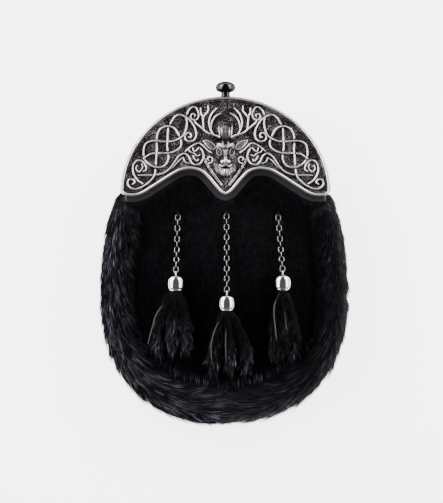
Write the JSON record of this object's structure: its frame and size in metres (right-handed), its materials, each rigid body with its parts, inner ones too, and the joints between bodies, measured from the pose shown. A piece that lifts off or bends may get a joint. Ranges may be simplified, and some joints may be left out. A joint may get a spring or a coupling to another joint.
{
  "type": "sporran pouch",
  "caption": "Dress sporran: a fur-fronted leather pouch, open at the top, with a cast metal cantle with a stag's head and knotwork, a knob and chained hair tassels.",
  "frame": {"origin": "bottom centre of the bounding box: on the centre line, at half the length, at the level of the leather back's flat outer face", "axes": "+Z out of the pouch's front, +Y along the pouch to the cantle and knob, +X to the viewer's right seen from the front"},
  "size_m": [0.176, 0.2432, 0.0479],
  "materials": {
    "back_leather": "matt grained",
    "lip_leather": "satin grained",
    "fur": "glossy hair",
    "tassel_hair": "long hair",
    "antique_pewter": "antiqued, bright on the relief and dark in the ground",
    "dark_chrome": "polished dark",
    "silver": "polished"
  },
  "bodies": {
    "root": {"back_panel": "back_leather", "gusset": "back_leather", "front_panel": "back_leather", "cantle_backing": "lip_leather", "fur_front": "fur", "fur_border": "fur", "cantle": "antique_pewter", "knob": "dark_chrome", "chain_staple_left": "silver", "chain_staple_centre": "silver", "chain_staple_right": "silver", "chain_left": "silver", "chain_centre": "silver", "chain_right": "silver", "tassel_cap_left": "silver", "tassel_cap_centre": "silver", "tassel_cap_right": "silver", "tassel_left": "tassel_hair", "tassel_centre": "tassel_hair", "tassel_right": "tassel_hair"}
  },
  "joints": []
}
